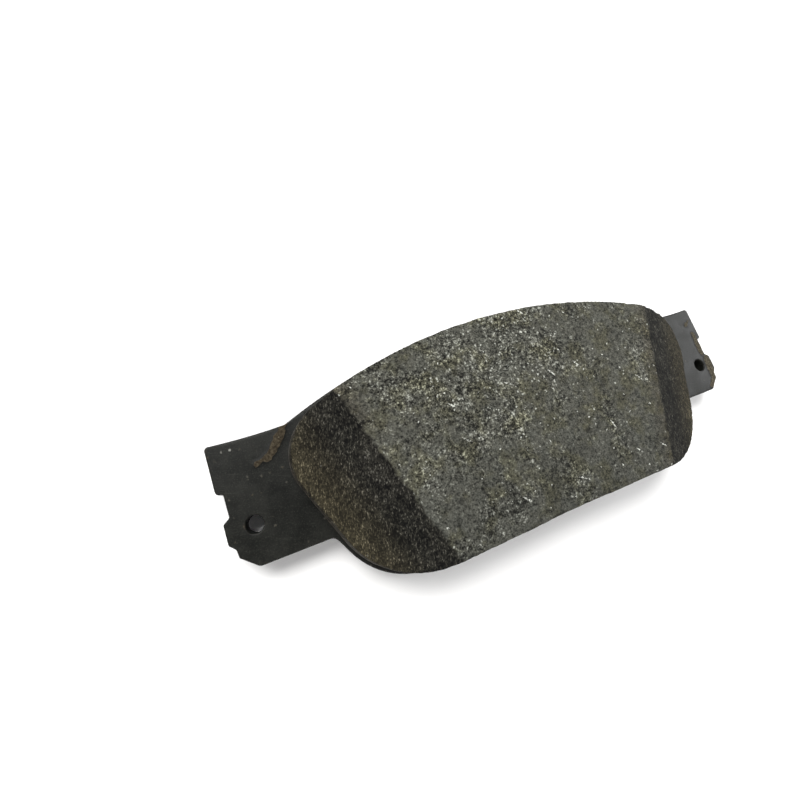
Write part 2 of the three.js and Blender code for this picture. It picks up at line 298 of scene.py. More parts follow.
class Graph:
    """A material's nodes, with lengths in millimetres of the pad's own frame."""

    def __init__(self, name):
        self.material = bpy.data.materials.new(name)
        self.material.use_nodes = True
        self.tree = self.material.node_tree
        self.shader = self.tree.nodes["Principled BSDF"]
        place = self.add("ShaderNodeTexCoord").outputs["Object"]
        self.place = self.vector("SCALE", place, scale=1 / MM)

    def add(self, kind, **values):
        node = self.tree.nodes.new(kind)
        for name, value in values.items():
            setattr(node, name, value)
        return node

    def link(self, value, socket):
        if isinstance(value, bpy.types.NodeSocket):
            self.tree.links.new(value, socket)
        else:
            socket.default_value = value

    def calc(self, operation, a, b=0.0):
        node = self.add("ShaderNodeMath", operation=operation)
        self.link(a, node.inputs[0])
        self.link(b, node.inputs[1])
        return node.outputs[0]

    def total(self, *terms):
        """The sum of values, each given with its weight."""
        result = 0.0
        for value, weight in terms:
            result = self.calc("ADD", self.calc("MULTIPLY", value, weight), result)
        return result

    def vector(self, operation, a, b=None, scale=None):
        node = self.add("ShaderNodeVectorMath", operation=operation)
        self.link(a, node.inputs[0])
        if b is not None:
            self.link(b, node.inputs[1])
        if scale is not None:
            self.link(scale, node.inputs["Scale"])
        return node.outputs["Value" if operation in ("LENGTH", "DISTANCE") else "Vector"]

    def step(self, value, start, end):
        """Smooth step from 0 at start to 1 at end, which may be the lower."""
        node = self.add("ShaderNodeMapRange", interpolation_type="SMOOTHSTEP")
        low, high = min(start, end), max(start, end)
        self.link(value, node.inputs["Value"])
        self.link(low, node.inputs["From Min"])
        self.link(high, node.inputs["From Max"])
        self.link(0.0 if start < end else 1.0, node.inputs["To Min"])
        self.link(1.0 if start < end else 0.0, node.inputs["To Max"])
        return node.outputs["Result"]

    def mix(self, factor, a, b, blend="MIX"):
        node = self.add("ShaderNodeMix", data_type="RGBA", blend_type=blend)
        self.link(factor, node.inputs["Factor"])
        self.link(a if isinstance(a, bpy.types.NodeSocket) else (*a, 1), node.inputs["A"])
        self.link(b if isinstance(b, bpy.types.NodeSocket) else (*b, 1), node.inputs["B"])
        return node.outputs["Result"]

    def blend(self, factor, a, b):
        node = self.add("ShaderNodeMix", data_type="FLOAT")
        self.link(factor, node.inputs["Factor"])
        self.link(a, node.inputs["A"])
        self.link(b, node.inputs["B"])
        return node.outputs["Result"]

    def stretched(self, x, y, z, angle=0.0):
        """The place, turned about Z and divided by a length along each axis."""
        turned = self.add("ShaderNodeVectorRotate", rotation_type="Z_AXIS")
        self.link(self.place, turned.inputs["Vector"])
        self.link(angle, turned.inputs["Angle"])
        return self.vector("MULTIPLY", turned.outputs["Vector"], (1 / x, 1 / y, 1 / z))

    def noise(self, size, detail=2.0, roughness=0.5, place=None):
        """Noise whose features are about size millimetres across."""
        node = self.add("ShaderNodeTexNoise")
        self.link(self.place if place is None else place, node.inputs["Vector"])
        self.link(1.0 / size, node.inputs["Scale"])
        self.link(detail, node.inputs["Detail"])
        self.link(roughness, node.inputs["Roughness"])
        return node.outputs["Fac"]

    def cells(self, size, place=None):
        """Distance from the middle of the nearest cell, in cells, and two values of the cell's own."""
        node = self.add("ShaderNodeTexVoronoi")
        self.link(self.place if place is None else place, node.inputs["Vector"])
        self.link(1.0 / size, node.inputs["Scale"])
        split = self.add("ShaderNodeSeparateColor")
        self.link(node.outputs["Color"], split.inputs["Color"])
        return node.outputs["Distance"], split.outputs[0], split.outputs[1]

    def warped(self, size, amount):
        """The place, pushed about by noise so that what is drawn on it has ragged outlines."""
        node = self.add("ShaderNodeTexNoise")
        self.link(self.place, node.inputs["Vector"])
        self.link(1.0 / size, node.inputs["Scale"])
        push = self.vector("SUBTRACT", node.outputs["Color"], (0.5, 0.5, 0.5))
        return self.vector("ADD", self.place, self.vector("SCALE", push, scale=2 * amount))

    def slivers(self, place, cell, size, share, aim=0.0, spread=math.pi):
        """Short strokes seen from above: a share of the cells has one each."""
        node = self.add("ShaderNodeTexVoronoi", voronoi_dimensions="2D")
        self.link(place, node.inputs["Vector"])
        self.link(1.0 / cell, node.inputs["Scale"])
        split = self.add("ShaderNodeSeparateColor")
        self.link(node.outputs["Color"], split.inputs["Color"])
        turn = self.calc("MULTIPLY", self.calc("SUBTRACT", split.outputs[0], 0.5), 2 * spread)
        turned = self.add("ShaderNodeVectorRotate", rotation_type="Z_AXIS")
        self.link(self.vector("SUBTRACT", place, node.outputs["Position"]), turned.inputs["Vector"])
        self.link(self.calc("SUBTRACT", turn, aim), turned.inputs["Angle"])
        length, width = size
        shape = self.vector("MULTIPLY", turned.outputs["Vector"], (2 / length, 2 / width, 0))
        body = self.step(self.vector("LENGTH", shape), 1.0, 0.5)
        chosen = self.calc("LESS_THAN", split.outputs[1], share)
        return self.calc("MULTIPLY", body, chosen)

    def attribute(self, name):
        return self.add("ShaderNodeAttribute", attribute_name=name).outputs["Fac"]

    def axes(self):
        node = self.add("ShaderNodeSeparateXYZ")
        self.link(self.place, node.inputs["Vector"])
        return node.outputs

    def near(self, x, y, z, radius):
        """1 at a point and 0 a radius away from it."""
        gap = self.vector("DISTANCE", self.place, (x, y, z))
        return self.step(gap, radius, 0.0)

    def bump(self, height, distance, strength):
        node = self.add("ShaderNodeBump")
        self.link(height, node.inputs["Height"])
        self.link(distance * MM, node.inputs["Distance"])
        self.link(strength, node.inputs["Strength"])
        return node.outputs["Normal"]

    def tint(self, factor, color, tint):
        """The colour, multiplied by a tint as far as the factor says."""
        return self.mix(factor, color, tint, "MULTIPLY")

    def finish(self, color, roughness, normal=None, metallic=0.0, **constants):
        self.link(color, self.shader.inputs["Base Color"])
        self.link(roughness, self.shader.inputs["Roughness"])
        self.link(metallic, self.shader.inputs["Metallic"])
        if normal is not None:
            self.link(normal, self.shader.inputs["Normal"])
        for name, value in constants.items():
            self.shader.inputs[name.replace("_", " ")].default_value = value
        return self.material


# ---------------------------------------------------------------- the friction compound

FACE_DARK = (0.004, 0.004, 0.003)
FACE_GREY = (0.093, 0.093, 0.077)
FACE_GLINT = (0.3, 0.305, 0.265)
OLIVE_TINT = (0.97, 0.94, 0.76)
COOL_TINT = (0.94, 0.99, 1.02)
LOW_SIDE_SHADE = (0.62, 0.63, 0.66)
BORDER_TINT = (0.72, 0.64, 0.57)
FACE_SPECK_AND_GLINT = (0.42, 0.43, 0.38)
METAL = (0.62, 0.63, 0.57)

GROUND_DARK = (0.0006, 0.0006, 0.0005)
GROUND_GREY = (0.031, 0.0295, 0.0232)
GROUND_GLINT = (0.12, 0.115, 0.098)
GROUND_SPECK = (0.17, 0.165, 0.145)
GROUND_OUTER_TINT = (1.75, 1.58, 1.2)
GROUND_OUTER_BROWN = (0.052, 0.044, 0.025)

WALL_DARK = (0.0035, 0.003, 0.002)
WALL_BROWN = (0.05, 0.045, 0.033)
PIT_SHADE = (0.006, 0.006, 0.005)

LEVEL_MEAN = 2.4
FACE_WEIGHTS = {"fine": 2.1, "medium": 1.4, "grain": 0.4, "coarse": 0.16, "drift": 0.7}
GROUND_WEIGHTS = {"fine": 1.3, "medium": 0.8, "grain": 0.3, "strokes": 0.55, "drift": 0.8}


def past_chamfer_edge(g, x, y):
    """How far outside the start of the end chamfer, which wanders a little."""
    wander = g.calc("MULTIPLY", g.calc("SUBTRACT", g.noise(1.6, 4.0, 0.65), 0.5), 2.6)
    lean = g.calc("ADD", g.calc("MULTIPLY", y, CHAMFER_LEAN), CHAMFER_START_X)
    return g.calc("ADD", g.calc("SUBTRACT", g.calc("ABSOLUTE", x), lean), wander)


def weighted(g, layers, weights):
    return g.total(*((layers[name], weight) for name, weight in weights.items()))


def grain_layers(g):
    """The layers of brightness, from single grains to wide patches."""
    return {
        "fine": g.noise(0.4, 2.0, 0.6),
        "medium": g.noise(1.0, 2.0, 0.6),
        "grain": g.cells(0.7, g.warped(0.45, 0.22))[1],
        "coarse": g.cells(1.8, g.warped(0.9, 0.7))[1],
        "drift": g.noise(8.0, 4.0, 0.6),
    }


def face_level(g, layers, x, y):
    """Brightness of the face: crisp in some zones, smeared at one end and on the lower side."""
    smeared = g.total((g.step(x, 8.0, 40.0), 0.12), (g.step(y, 4.0, -18.0), 0.13))
    zone = g.calc("SUBTRACT", g.noise(11.0, 3.0, 0.6), smeared)
    crisp = g.blend(g.step(zone, 0.3, 0.62), 0.66, 1.4)
    contrast = g.calc("SUBTRACT", weighted(g, layers, FACE_WEIGHTS), LEVEL_MEAN)
    return g.calc("ADD", g.calc("MULTIPLY", contrast, crisp), LEVEL_MEAN)


def face_color(g, level, past_edge, x, y):
    """Dark resin and grey grains, tinted in patches, darkened low down as painted shade, and duller by
    the chamfers.
    """
    color = g.mix(g.step(level, 1.75, 2.95), FACE_DARK, FACE_GREY)
    color = g.mix(g.step(level, 2.65, 3.2), color, FACE_GLINT)
    olive = g.calc("MULTIPLY", g.step(g.noise(5.0, 3.0, 0.6), 0.44, 0.66), 0.9)
    color = g.tint(olive, color, OLIVE_TINT)
    patch = g.cells(1.8, g.warped(0.9, 0.7))[2]
    color = g.tint(g.calc("MULTIPLY", g.step(patch, 0.6, 0.9), 0.25), color, COOL_TINT)
    # Painted shade: the face is darkened towards its lower side (-Y).
    color = g.tint(g.calc("MULTIPLY", g.step(y, 8.0, -24.0), 0.42), color, LOW_SIDE_SHADE)
    stained = g.calc("MAXIMUM", g.step(y, 0.0, 14.0), g.step(x, 0.0, 20.0))
    border = g.calc("MULTIPLY", g.step(past_edge, -6.0, 0.0), stained)
    return g.tint(g.calc("MULTIPLY", border, 0.7), color, BORDER_TINT)


def mineral_specks_and_glints(g, past_edge, on_face):
    """Specks in loose crowds, most of them over the upper middle of the face, where the crowd is
    partly painted highlight for glints of light.
    """
    crowd = g.step(g.noise(4.5, 3.0, 0.7), 0.52, 0.72)
    # Painted highlight: the extra specks over the upper middle of the face stand for glints of light
    # there.
    middle = g.near(-2.0, 17.0, FACE_Z, 30.0)
    border = g.calc("MULTIPLY", g.step(past_edge, -2.2, -0.7), on_face)
    both = g.calc("MULTIPLY", middle, crowd)
    share = g.total((crowd, 0.1), (both, 0.27), (middle, 0.08), (border, 0.04))
    place = g.vector("ADD", g.warped(0.3, 0.3), (31.0, 17.0, 5.0))
    gap, value, _ = g.cells(0.5, place)
    chosen = g.step(g.calc("SUBTRACT", value, g.calc("SUBTRACT", 1.0, share)), 0.0, 0.06)
    return g.calc("MULTIPLY", chosen, g.step(gap, 0.7, 0.35))


def metal_slivers(g, on_face, wall):
    """Slivers of metal in the face at all angles, a few of them long."""
    short = g.slivers(g.warped(0.35, 0.35), 2.4, (0.8, 0.32), 0.13)
    moved = g.vector("ADD", g.warped(0.5, 0.2), (7.0, 3.0, 0.0))
    long = g.slivers(moved, 9.0, (3.0, 0.5), 0.16, math.radians(-48), 0.45)
    broken = g.step(g.noise(0.4, 2.0), 0.42, 0.58)
    metal = g.calc("MULTIPLY", g.calc("MAXIMUM", short, long), broken)
    return g.calc("MULTIPLY", metal, g.calc("MULTIPLY", on_face, g.calc("SUBTRACT", 1.0, wall)))


def grinding_strokes(g):
    """Short strokes that run nearly across the pad."""
    first = g.slivers(g.warped(0.45, 0.22), 0.8, (1.3, 0.2), 0.6, math.radians(76), 0.3)
    moved = g.vector("ADD", g.warped(0.4, 0.12), (3.3, 9.1, 0.0))
    second = g.slivers(moved, 0.7, (0.9, 0.18), 0.5, math.radians(82), 0.5)
    return g.calc("MAXIMUM", first, second)


def ground_color(g, layers, past_edge, speck):
    """The ground chamfers: dark, partly for their ground finish and partly as painted shade, with pale
    strokes and specks, and browner at the outside.
    """
    dull = weighted(g, layers, GROUND_WEIGHTS)
    # Partly painted shade: the chamfers are darkened against the face beyond their own finish.
    color = g.mix(g.step(dull, 1.3, 2.35), GROUND_DARK, GROUND_GREY)
    color = g.mix(g.step(dull, 2.1, 2.65), color, GROUND_GLINT)
    outer = g.step(past_edge, 5.0, 18.0)
    color = g.tint(outer, color, GROUND_OUTER_TINT)
    color = g.mix(g.calc("MULTIPLY", outer, 0.2), color, GROUND_OUTER_BROWN)
    return g.mix(g.calc("MULTIPLY", speck, 0.35), color, GROUND_SPECK)


def friction_material():
    """Semi-metallic compound: the rubbed face, the two ground chamfers and the moulded walls."""
    g = Graph("friction_compound")
    x, y, _ = g.axes()
    wall = g.attribute("wall")
    past_edge = past_chamfer_edge(g, x, y)
    chamfer = g.step(past_edge, -0.3, 0.5)
    on_face = g.calc("SUBTRACT", 1.0, chamfer)
    layers = grain_layers(g) | {"strokes": grinding_strokes(g)}
    level = face_level(g, layers, x, y)
    speck = mineral_specks_and_glints(g, past_edge, on_face)
    metal = metal_slivers(g, on_face, wall)

    face = face_color(g, level, past_edge, x, y)
    # Pale specks: real ones, plus painted highlight over the upper middle of the face.
    face = g.mix(g.calc("MULTIPLY", speck, 0.8), face, FACE_SPECK_AND_GLINT)
    color = g.mix(chamfer, face, ground_color(g, layers, past_edge, speck))
    color = g.mix(wall, color, g.mix(g.step(level, 1.9, 3.1), WALL_DARK, WALL_BROWN))
    # Painted shade: the pits and gouges of the face are darkened.
    color = g.mix(g.calc("MULTIPLY", g.attribute("pit_shade"), 0.75), color, PIT_SHADE)
    color = g.mix(metal, color, METAL)

    height = g.total((level, 0.5), (layers["strokes"], 0.12), (metal, 0.25))
    roughness = g.blend(metal, g.blend(chamfer, 0.74, 0.84), 0.42)
    shine = g.calc("MULTIPLY", metal, 0.7)
    normal = g.bump(height, 0.1, 0.8)
    return g.finish(color, roughness, normal, shine, Specular_IOR_Level=0.12)


# ---------------------------------------------------------------- underlayer and bonding film


UNDERLAYER_DARK = (0.006, 0.005, 0.0035)
UNDERLAYER_BROWN = (0.05, 0.043, 0.031)
UNDERLAYER_RUST = (0.07, 0.048, 0.026)
FILM_DARK = (0.012, 0.01, 0.007)
FILM_BROWN = (0.05, 0.036, 0.02)


def underlayer_material():
    """Resin-rich compound, browner and finer than the block above it."""
    g = Graph("underlayer_compound")
    cloud = g.noise(0.7, 4.0, 0.7)
    grain = g.cells(0.5)[1]
    level = g.calc("ADD", g.calc("MULTIPLY", cloud, 0.8), g.calc("MULTIPLY", grain, 0.3))
    color = g.mix(g.step(level, 0.35, 0.9), UNDERLAYER_DARK, UNDERLAYER_BROWN)
    rust = g.step(g.noise(4.0, 3.0, 0.6), 0.55, 0.72)
    color = g.mix(g.calc("MULTIPLY", rust, 0.35), color, UNDERLAYER_RUST)
    return g.finish(color, 0.88, g.bump(level, 0.12, 0.8), Specular_IOR_Level=0.3)


def film_material():
    """The line of cured resin that shows between the plate and the underlayer."""
    g = Graph("bonding_resin")
    shade = g.noise(1.5, 3.0)
    color = g.mix(g.step(shade, 0.35, 0.7), FILM_DARK, FILM_BROWN)
    return g.finish(color, 0.5, g.bump(shade, 0.05, 0.6))


# ---------------------------------------------------------------- the plate's coating

COAT_DARK = (0.0035, 0.0039, 0.0032)
COAT_LIGHT = (0.0095, 0.0098, 0.008)
PEEL_HIGHLIGHT = (0.019, 0.0195, 0.016)
PEEL_SHADE = (0.003, 0.003, 0.0025)
SCUFF = (0.035, 0.035, 0.03)
DUST_PALE = (0.05, 0.048, 0.04)
DUST_BROWN = (0.034, 0.029, 0.02)
CORNER_GLINT = (0.26, 0.26, 0.24)
LIFTED_EDGE = (0.002, 0.002, 0.0015)
RUST_DARK = (0.018, 0.013, 0.0075)
RUST_BROWN = (0.07, 0.057, 0.037)
RUST_PALE = (0.13, 0.115, 0.08)
FAR_EAR_SHEEN = (1.5, 1.65, 1.8)

# Fine scuffs run in three directions: angle, length, and the least value of noise that shows.
SCUFFS = ((0.3, 7.0, 0.6), (-0.95, 5.0, 0.64), (1.3, 9.0, 0.66))


def coat_color(g, cloud, peel):
    """Thin black coating with an orange-peel skin, whose highs and lows are painted lighter and darker
    as highlight and shade, and fine scuffs.
    """
    color = g.mix(g.step(cloud, 0.3, 0.7), COAT_DARK, COAT_LIGHT)
    # Painted highlight and shade: the peel's highs are lightened and its lows darkened.
    color = g.mix(g.step(peel, 0.5, 0.72), color, PEEL_HIGHLIGHT)
    color = g.mix(g.step(peel, 0.45, 0.25), color, PEEL_SHADE)
    for angle, length, least in SCUFFS:
        lines = g.noise(1.0, 2.0, 0.6, g.stretched(length, 0.13, 3.0, angle))
        here = g.step(g.noise(7.0, 2.0), 0.42, 0.62)
        scuff = g.calc("MULTIPLY", g.step(lines, least, least + 0.12), here)
        color = g.mix(g.calc("MULTIPLY", scuff, 0.55), color, SCUFF)
    return color


def dust_and_corner_glint(g, cloud):
    """Grains of dust, and a close crowd of pale specks by the outer corner of one ear that is painted
    highlight: where, and colour.
    """
    gap, value, shade = g.cells(0.95, g.warped(0.4, 0.3))
    # Painted highlight: the pale crowd by the outer corner of the ear at -X stands for light glinting
    # on that corner.
    corner = g.near(-72.8, 12.0, PLATE_FRONT, 2.6)
    middle = g.near(-69.5, 3.0, PLATE_FRONT, 8.0)
    share = g.total((corner, 0.45), (middle, 0.06), (g.step(cloud, 0.45, 0.7), 0.07))
    chosen = g.step(g.calc("SUBTRACT", value, g.calc("SUBTRACT", 0.95, share)), 0.0, 0.04)
    speck = g.calc("MULTIPLY", chosen, g.step(gap, 0.4, 0.15))
    return speck, g.mix(corner, g.mix(shade, DUST_PALE, DUST_BROWN), CORNER_GLINT)


def rust_color(g, flaky, rough_edge, x):
    """Brown rust with pale crusts, lighter and bluer on the ear at +X as painted sheen."""
    color = g.mix(flaky, RUST_DARK, RUST_BROWN)
    color = g.mix(g.step(rough_edge, 0.62, 0.72), color, RUST_PALE)
    # Painted sheen: the rust on the ear at +X is lightened and cooled.
    return g.tint(g.step(x, 0.0, 1.0), color, FAR_EAR_SHEEN)


def plate_material():
    """Black coating on blanked steel: scuffed, dusty, and lifted by rust in scabs and at edges, with
    painted highlight and shade on its orange peel, painted highlight at one ear's outer corner and
    painted sheen on the far ear's rust.
    """
    g = Graph("coated_steel")
    cloud = g.noise(5.0, 4.0, 0.65)
    peel = g.noise(0.32, 3.0, 0.7)
    color = coat_color(g, cloud, peel)
    speck, dust = dust_and_corner_glint(g, cloud)
    color = g.mix(g.calc("MULTIPLY", speck, 0.85), color, dust)

    scab = g.attribute("scab")
    rough_edge = g.noise(0.9, 4.0, 0.75)
    rim = g.calc("MULTIPLY", g.attribute("rim"), g.step(g.noise(4.0, 3.0, 0.6), 0.52, 0.66))
    rim = g.calc("MULTIPLY", rim, g.step(rough_edge, 0.42, 0.6))
    ring = g.calc("MULTIPLY", g.step(scab, 0.05, 0.3), g.step(scab, 0.75, 0.4))
    color = g.mix(g.calc("MULTIPLY", ring, 0.8), color, LIFTED_EDGE)
    flaky = g.step(g.noise(0.6, 5.0, 0.8), 0.38, 0.66)
    rust = g.calc("MAXIMUM", g.step(scab, 0.45, 0.7), g.calc("MULTIPLY", rim, 0.6))
    brown = rust_color(g, flaky, rough_edge, g.axes()[0])
    color = g.mix(g.calc("MULTIPLY", rust, 0.92), color, brown)

    flakes = g.calc("MULTIPLY", flaky, rust)
    height = g.total((peel, 0.3), (rust, 0.5), (flakes, 0.8), (speck, 0.6))
    roughness = g.blend(rust, g.blend(g.step(cloud, 0.3, 0.7), 0.4, 0.5), 0.92)
    return g.finish(color, roughness, g.bump(height, 0.05, 0.7), Specular_IOR_Level=0.15)


# ---------------------------------------------------------------- the noise shim

RUBBER_DARK = (0.0085, 0.0085, 0.009)
RUBBER_LIGHT = (0.02, 0.02, 0.0205)
RUBBER_DUST = (0.12, 0.115, 0.105)
RUBBER_SCUFF = (0.09, 0.09, 0.09)
STEEL_DARK = (0.36, 0.36, 0.37)
STEEL_LIGHT = (0.62, 0.62, 0.63)
STEEL_STAIN = (0.16, 0.11, 0.07)
ADHESIVE_DARK = (0.2, 0.17, 0.11)
ADHESIVE_LIGHT = (0.42, 0.38, 0.28)


def rubber_material():
    """The shim's moulded rubber skin, with a fine pebble grain, dust and a few scuffs."""
    g = Graph("shim_rubber")
    pebble = g.cells(0.38)[0]
    cloud = g.noise(11.0, 4.0, 0.6)
    color = g.mix(g.step(cloud, 0.35, 0.7), RUBBER_DARK, RUBBER_LIGHT)
    grains = g.step(g.noise(1.1, 4.0, 0.75), 0.58, 0.78)
    dust = g.calc("MULTIPLY", grains, g.step(cloud, 0.4, 0.65))
    color = g.mix(g.calc("MULTIPLY", dust, 0.35), color, RUBBER_DUST)
    lines = g.noise(1.0, 2.0, 0.5, g.stretched(14.0, 0.22, 3.0, 0.6))
    scuff = g.calc("MULTIPLY", g.step(lines, 0.67, 0.75), g.step(g.noise(16.0, 1.0), 0.5, 0.6))
    color = g.mix(g.calc("MULTIPLY", scuff, 0.4), color, RUBBER_SCUFF)
    roughness = g.blend(cloud, 0.62, 0.85)
    return g.finish(color, roughness, g.bump(pebble, 0.03, 0.5), Specular_IOR_Level=0.35)


def shim_steel_material():
    """Brushed sheet steel with brown stains."""
    g = Graph("shim_steel")
    brushed = g.noise(1.0, 3.0, 0.6, g.stretched(12.0, 0.12, 1.0))
    stain = g.step(g.noise(5.0, 3.0, 0.6), 0.55, 0.75)
    color = g.mix(brushed, STEEL_DARK, STEEL_LIGHT)
    color = g.mix(g.calc("MULTIPLY", stain, 0.6), color, STEEL_STAIN)
    roughness = g.blend(stain, 0.34, 0.7)
    return g.finish(color, roughness, g.bump(brushed, 0.02, 0.4), metallic=0.9)


def adhesive_material():
    """Cloudy yellowish film."""
    g = Graph("shim_adhesive")
    cloud = g.noise(1.2, 3.0)
    color = g.mix(cloud, ADHESIVE_DARK, ADHESIVE_LIGHT)
    return g.finish(color, 0.45, g.bump(cloud, 0.05, 0.5))


# ---------------------------------------------------------------- the friction block


def gouges(points, seed):
    """Short torn grooves on the face at all angles: 1 in their middle, 0 past their edge."""
    draw = np.random.default_rng(seed)
    total = np.zeros(len(points))
    for _ in range(GOUGE_COUNT):
        centre = draw.uniform(BLOCK_LOW[:2], BLOCK_HIGH[:2])
        angle = draw.uniform(0, math.pi)
        length, width = draw.uniform(*GOUGE_LENGTHS), draw.uniform(*GOUGE_WIDTHS)
        gap = points[:, :2] - centre
        near = np.abs(gap).max(axis=1) < length
        along = gap[near] @ (math.cos(angle), math.sin(angle))
        across = gap[near] @ (-math.sin(angle), math.cos(angle)) + 0.12 * np.sin(2.5 * along)
        shape = np.hypot(along / length, across / width) * 2
        total[near] = np.maximum(total[near], ramp(shape, 1.0, 0.3))
    return total


def small_pits(points):
    gap, value = nearest_seed(points, SMALL_PIT_CELL, seed=21)
    return ramp(gap, 0.62, 0.1) * ramp(value, 0.66, 0.9)


def large_pits(points):
    """Wide pits with broken outlines, where a coarse grain has come out."""
    gap, value = nearest_seed(points, LARGE_PIT_CELL, seed=31)
    reach = 0.4 + 0.7 * value
    broken = gap + 0.3 * value_noise(points, 0.7, seed=35)
    return ramp(broken, reach, 0.2 * reach) * ramp(value, 0.6, 0.95)


def edge_wear(points, crease):
    """How far the block's edges are worn down: a little everywhere, in chips, and in a hollow."""
    chipped = ramp(layered_noise(points, 2.0, 3, seed=61), 0.1, 0.9)
    from_middle = np.abs(points[:, 0] - HOLLOW_X)
    hollow = ramp(from_middle, HOLLOW_HALF, 0.4 * HOLLOW_HALF) * (points[:, 1] < 0)
    worn = EDGE_WEAR + EDGE_CHIP * chipped + HOLLOW_WEAR * hollow
    return worn * ramp(crease, EDGE_WIDTH + hollow, 0.0)


def block_relief(points, normals, crease):
    """How far each point sinks below the clean surface, and how deep in a hollow it is, for the
    painted shade in the hollows.
    """
    upward = ramp(normals[:, 2], 0.5, 0.8)
    past_edge = np.abs(points[:, 0]) - CHAMFER_START_X - CHAMFER_LEAN * points[:, 1]
    ground = ramp(past_edge, -0.4, 0.6) * upward
    face = upward - ground
    side = 1 - upward
    small, large, torn = small_pits(points), large_pits(points), gouges(points, seed=39)
    holes = SMALL_PIT_DEPTH * small + LARGE_PIT_DEPTH * large + GOUGE_DEPTH * torn
    grinding = value_noise(points / np.array((0.6, 4.0, 4.0)), 1.0, seed=41)

    sink = GRAIN_DEPTH * layered_noise(points, 0.9, 2, seed=11)
    sink += face * holes + ground * GROUND_PIT_DEPTH * small
    sink += ground * GRINDING_DEPTH * grinding
    sink += side * (WALL_ROUGHNESS * layered_noise(points, 1.6, 3, seed=51) + WALL_SINK)
    sink += edge_wear(points, crease)
    # The depth in the pits and gouges, which the material paints as shade.
    pit_shade = face * np.clip(0.35 * small + large + 0.6 * torn, 0, 1)
    return np.maximum(sink, -MOST_PROUD), pit_shade


def flatten_base(mesh):
    """Makes the hidden flat underside of the block one face."""
    shape = bmesh.new()
    shape.from_mesh(mesh)
    level = (BLOCK_BASE + 0.02) * MM
    hidden = [face for face in shape.faces if all(v.co.z < level for v in face.verts)]
    bmesh.ops.dissolve_faces(shape, faces=hidden, use_verts=True)
    shape.to_mesh(mesh)
    shape.free()


def make_friction_block():
    """The block remeshed finely enough to carry relief everywhere but on its hidden base."""
    clean = welded_copy("friction_block", "friction_block_clean")
    settings = {"mode": "VOXEL", "voxel_size": BLOCK_VOXEL * MM}
    mesh = with_modifiers(clean, ("REMESH", settings))
    mesh.name = "friction_block_mesh"
    points = points_of(mesh)
    normals = normals_of(mesh)
    crease = crease_distance(clean, points, BLOCK_CREASE)
    base = ramp(points[:, 2], BLOCK_BASE + 0.6, BLOCK_BASE + 0.1)
    sink, pit_shade = block_relief(points, normals, np.where(base > 0, FAR, crease))
    set_points(mesh, points - normals * (sink * (1 - base))[:, None])
    set_attribute(mesh, "wall", ramp(normals[:, 2], 0.75, 0.45))
    set_attribute(mesh, "pit_shade", pit_shade)
    flatten_base(mesh)
    mesh.shade_smooth()
    material = friction_material()
    new_piece("friction_block_rough", mesh, "friction_block", material)


# ---------------------------------------------------------------- the underlayer


def block_ring(step):
    """The block's outline at its base: evenly spaced points and their outward normals."""
    points = points_of(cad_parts["friction_block"].data)
    base = points[points[:, 2] < BLOCK_BASE + 0.01][:, :2]
    base = np.unique(np.round(base, 3), axis=0)
    base = base[np.argsort(np.arctan2(base[:, 1], base[:, 0]))]
    closed = np.vstack([base, base[:1]])
    length = np.concatenate([[0], np.cumsum(np.linalg.norm(np.diff(closed, axis=0), axis=1))])
    even = np.linspace(0, length[-1], int(length[-1] / step) + 1)[:-1]
    ring = np.stack([np.interp(even, length, closed[:, axis]) for axis in (0, 1)], axis=1)
    along = np.roll(ring, -1, axis=0) - np.roll(ring, 1, axis=0)
    outward = np.stack([along[:, 1], -along[:, 0]], axis=1)
    return ring, outward / np.linalg.norm(outward, axis=1)[:, None]


def underlayer_row(ring, outward, z):
    """The wall's outline at a height, roughened, with flash at its foot."""
    flat = ring + outward * WALL_DRAFT * (BLOCK_BASE - z)
    place = np.column_stack([flat, np.full(len(flat), z)])
    rough = UNDERLAYER_ROUGHNESS * layered_noise(place, 1.6, 3, seed=71) - UNDERLAYER_SINK
    flash = ramp(value_noise(place * (1, 1, 0), 6.0, seed=75), 0.1, 0.8)
    rough += LIP_DEPTH * flash * ramp(z, UNDERLAYER_BASE + LIP_HEIGHT, UNDERLAYER_BASE)
    place[:, :2] += outward * rough[:, None]
    return place


def stacked_faces(count, rows):
    """Faces that join rows of points into a wall, and close its bottom and its top."""
    faces = []
    for low in range(0, (rows - 1) * count, count):
        for i in range(count):
            j = (i + 1) % count
            faces.append((low + i, low + j, low + count + j, low + count + i))
    faces.append(tuple(range(count - 1, -1, -1)))
    faces.append(tuple(range((rows - 1) * count, rows * count)))
    return faces


def make_underlayer():
    """The underlayer's wall, which follows the block's base down to the bonding film."""
    ring, outward = block_ring(RING_STEP)
    levels = np.linspace(UNDERLAYER_BASE, BLOCK_BASE, UNDERLAYER_ROWS)
    points = np.vstack([underlayer_row(ring, outward, z) for z in levels])
    mesh = bpy.data.meshes.new("underlayer_mesh")
    mesh.from_pydata(points * MM, [], stacked_faces(len(ring), UNDERLAYER_ROWS))
    mesh.validate()
    mesh.shade_smooth()
    mesh.set_sharp_from_angle(angle=UNDERLAYER_SHARP)
    material = underlayer_material()
    new_piece("underlayer_rough", mesh, "underlayer", material)


# ---------------------------------------------------------------- the backing plate


def on_ear_front(face):
    reach = max(abs(v.co.x) for v in face.verts)
    top = max(v.co.z for v in face.verts)
    return reach > EAR_START * MM and top > (PLATE_FRONT - EAR_SKIN) * MM


